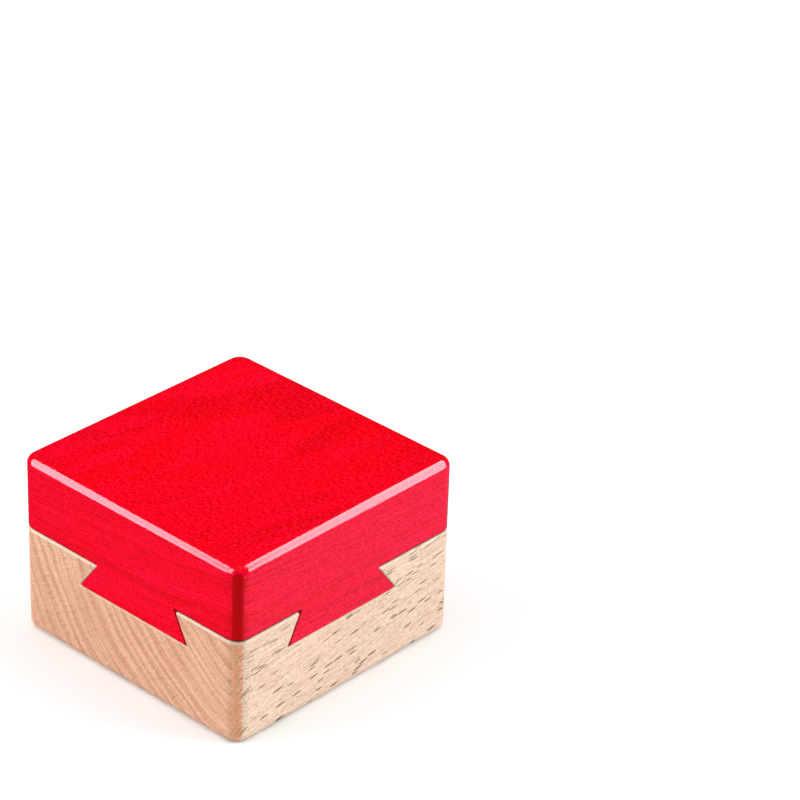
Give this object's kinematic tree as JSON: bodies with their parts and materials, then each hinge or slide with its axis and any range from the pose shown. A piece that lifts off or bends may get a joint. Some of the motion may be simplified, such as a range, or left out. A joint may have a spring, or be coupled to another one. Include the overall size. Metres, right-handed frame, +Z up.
{
  "type": "wooden puzzle box",
  "caption": "Square puzzle box of a natural beech base and a red lid joined by diagonal dovetail rails, with a round pocket inside and a gravity lock pin.",
  "frame": {"origin": "centre of the underside, on the surface that the box stands on", "axes": "+Z up; the four sides are square to X and Y; the lid slides along the diagonal (1, 1, 0)"},
  "size_m": [0.075, 0.075, 0.049],
  "materials": {
    "beech": "natural beech, sanded and lightly waxed, satin",
    "red_lacquer": "beech under a red semi-gloss lacquer, grain showing through",
    "steel": "turned steel, plain"
  },
  "bodies": {
    "base": {"base_block": "beech"},
    "lid": {"lid_block": "red_lacquer"},
    "pin": {"lock_pin": "steel"}
  },
  "joints": [
    {"name": "lid_slide", "type": "slide", "parent": "base", "child": "lid", "axis": [0.7071, 0.7071, 0], "range_m": [-0.108, 0.108]},
    {"name": "pin_drop", "type": "slide", "parent": "lid", "child": "pin", "axis": [0, 0, -1], "range_m": [0, 0.006]}
  ]
}
